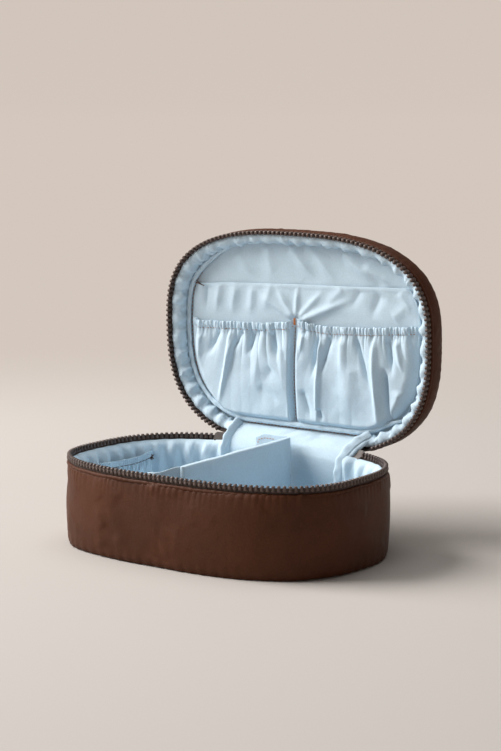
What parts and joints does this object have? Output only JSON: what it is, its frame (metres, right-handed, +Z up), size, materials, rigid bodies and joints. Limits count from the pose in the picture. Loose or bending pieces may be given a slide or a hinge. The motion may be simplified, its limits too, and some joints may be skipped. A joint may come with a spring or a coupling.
{
  "type": "zippered travel pouch",
  "caption": "Soft zippered travel pouch with a padded oval tray, a hinged lid with gathered pockets and a lift-out divider, shown open.",
  "frame": {"origin": "middle of the base panel's underside, on the surface that the pouch stands on", "axes": "+X to the right along the longest side, +Y from the front to the hinge at the back, +Z up"},
  "size_m": [0.2188, 0.1709, 0.2054],
  "materials": {
    "shell_fabric": "crinkled matte nylon",
    "lining_fabric": "washed cotton",
    "padding_foam": "soft foam",
    "stiffener_board": "matte",
    "zip_tape": "woven tape",
    "zip_teeth": "satin",
    "zip_metal": "satin",
    "loop_tape": "brushed loops",
    "pull_leather": "satin"
  },
  "bodies": {
    "tray": {"base_panel": "shell_fabric", "base_board": "stiffener_board", "base_foam": "padding_foam", "floor_lining": "lining_fabric", "tray_wall_shell": "shell_fabric", "tray_wall_foam": "padding_foam", "tray_wall_lining": "lining_fabric", "tray_rim_welt": "shell_fabric", "tray_back_shell": "shell_fabric", "tray_back_foam": "padding_foam", "tray_back_lining": "lining_fabric", "back_seam_binding_left": "lining_fabric", "back_seam_binding_right": "lining_fabric", "tray_zip_tape": "zip_tape", "tray_zip_teeth": "zip_teeth", "zip_end_left": "zip_tape", "zip_end_right": "zip_tape", "hinge_outer_fabric": "shell_fabric", "hinge_lining": "lining_fabric", "end_pocket": "lining_fabric", "end_pocket_elastic": "lining_fabric", "back_loop_patch": "loop_tape", "front_loop_patch": "loop_tape", "slider_left": "zip_metal", "slider_right": "zip_metal"},
    "lid": {"lid_top_panel": "shell_fabric", "lid_wall_shell": "shell_fabric", "lid_back_shell": "shell_fabric", "lid_rim_welt": "shell_fabric", "lid_board": "stiffener_board", "lid_panel_foam": "padding_foam", "lid_wall_foam": "padding_foam", "lid_zip_teeth": "zip_teeth", "lid_zip_tape": "zip_tape", "lid_wall_lining": "lining_fabric", "lid_panel_lining": "lining_fabric", "lid_seam_binding": "lining_fabric", "slip_pocket": "lining_fabric", "gathered_pocket_left": "lining_fabric", "gathered_pocket_right": "lining_fabric", "pocket_elastic_left": "lining_fabric", "pocket_elastic_right": "lining_fabric"},
    "divider": {"divider_cover": "lining_fabric", "divider_core": "padding_foam", "divider_back_flap": "lining_fabric", "divider_front_flap": "lining_fabric"},
    "ring_left": {"pull_ring_left": "zip_metal"},
    "tab_left": {"pull_tab_left": "pull_leather"},
    "ring_right": {"pull_ring_right": "zip_metal"},
    "tab_right": {"pull_tab_right": "pull_leather"}
  },
  "joints": [
    {"name": "lid_hinge", "type": "hinge", "parent": "tray", "child": "lid", "pos_m": [0, 0.072, 0.0575], "axis": [-1, 0, 0], "range_deg": [-89, 45]},
    {"name": "divider_lift", "type": "slide", "parent": "tray", "child": "divider", "axis": [0, 0, 1], "range_m": [0, 0.08]},
    {"name": "pull_left_lift", "type": "hinge", "parent": "tray", "child": "ring_left", "pos_m": [-0.05759, 0.07347, 0.05432], "axis": [-0.969, -0.2472, 0], "range_deg": [-80, 0]},
    {"name": "tab_left_swing", "type": "hinge", "parent": "ring_left", "child": "tab_left", "pos_m": [-0.05759, 0.07347, 0.04887], "axis": [-0.2472, 0.969, 0], "range_deg": [-60, 60]},
    {"name": "pull_right_lift", "type": "hinge", "parent": "tray", "child": "ring_right", "pos_m": [0.05759, 0.07347, 0.05432], "axis": [-0.969, 0.2472, 0], "range_deg": [-80, 0]},
    {"name": "tab_right_swing", "type": "hinge", "parent": "ring_right", "child": "tab_right", "pos_m": [0.05759, 0.07347, 0.04887], "axis": [-0.2472, -0.969, 0], "range_deg": [-60, 60]}
  ]
}
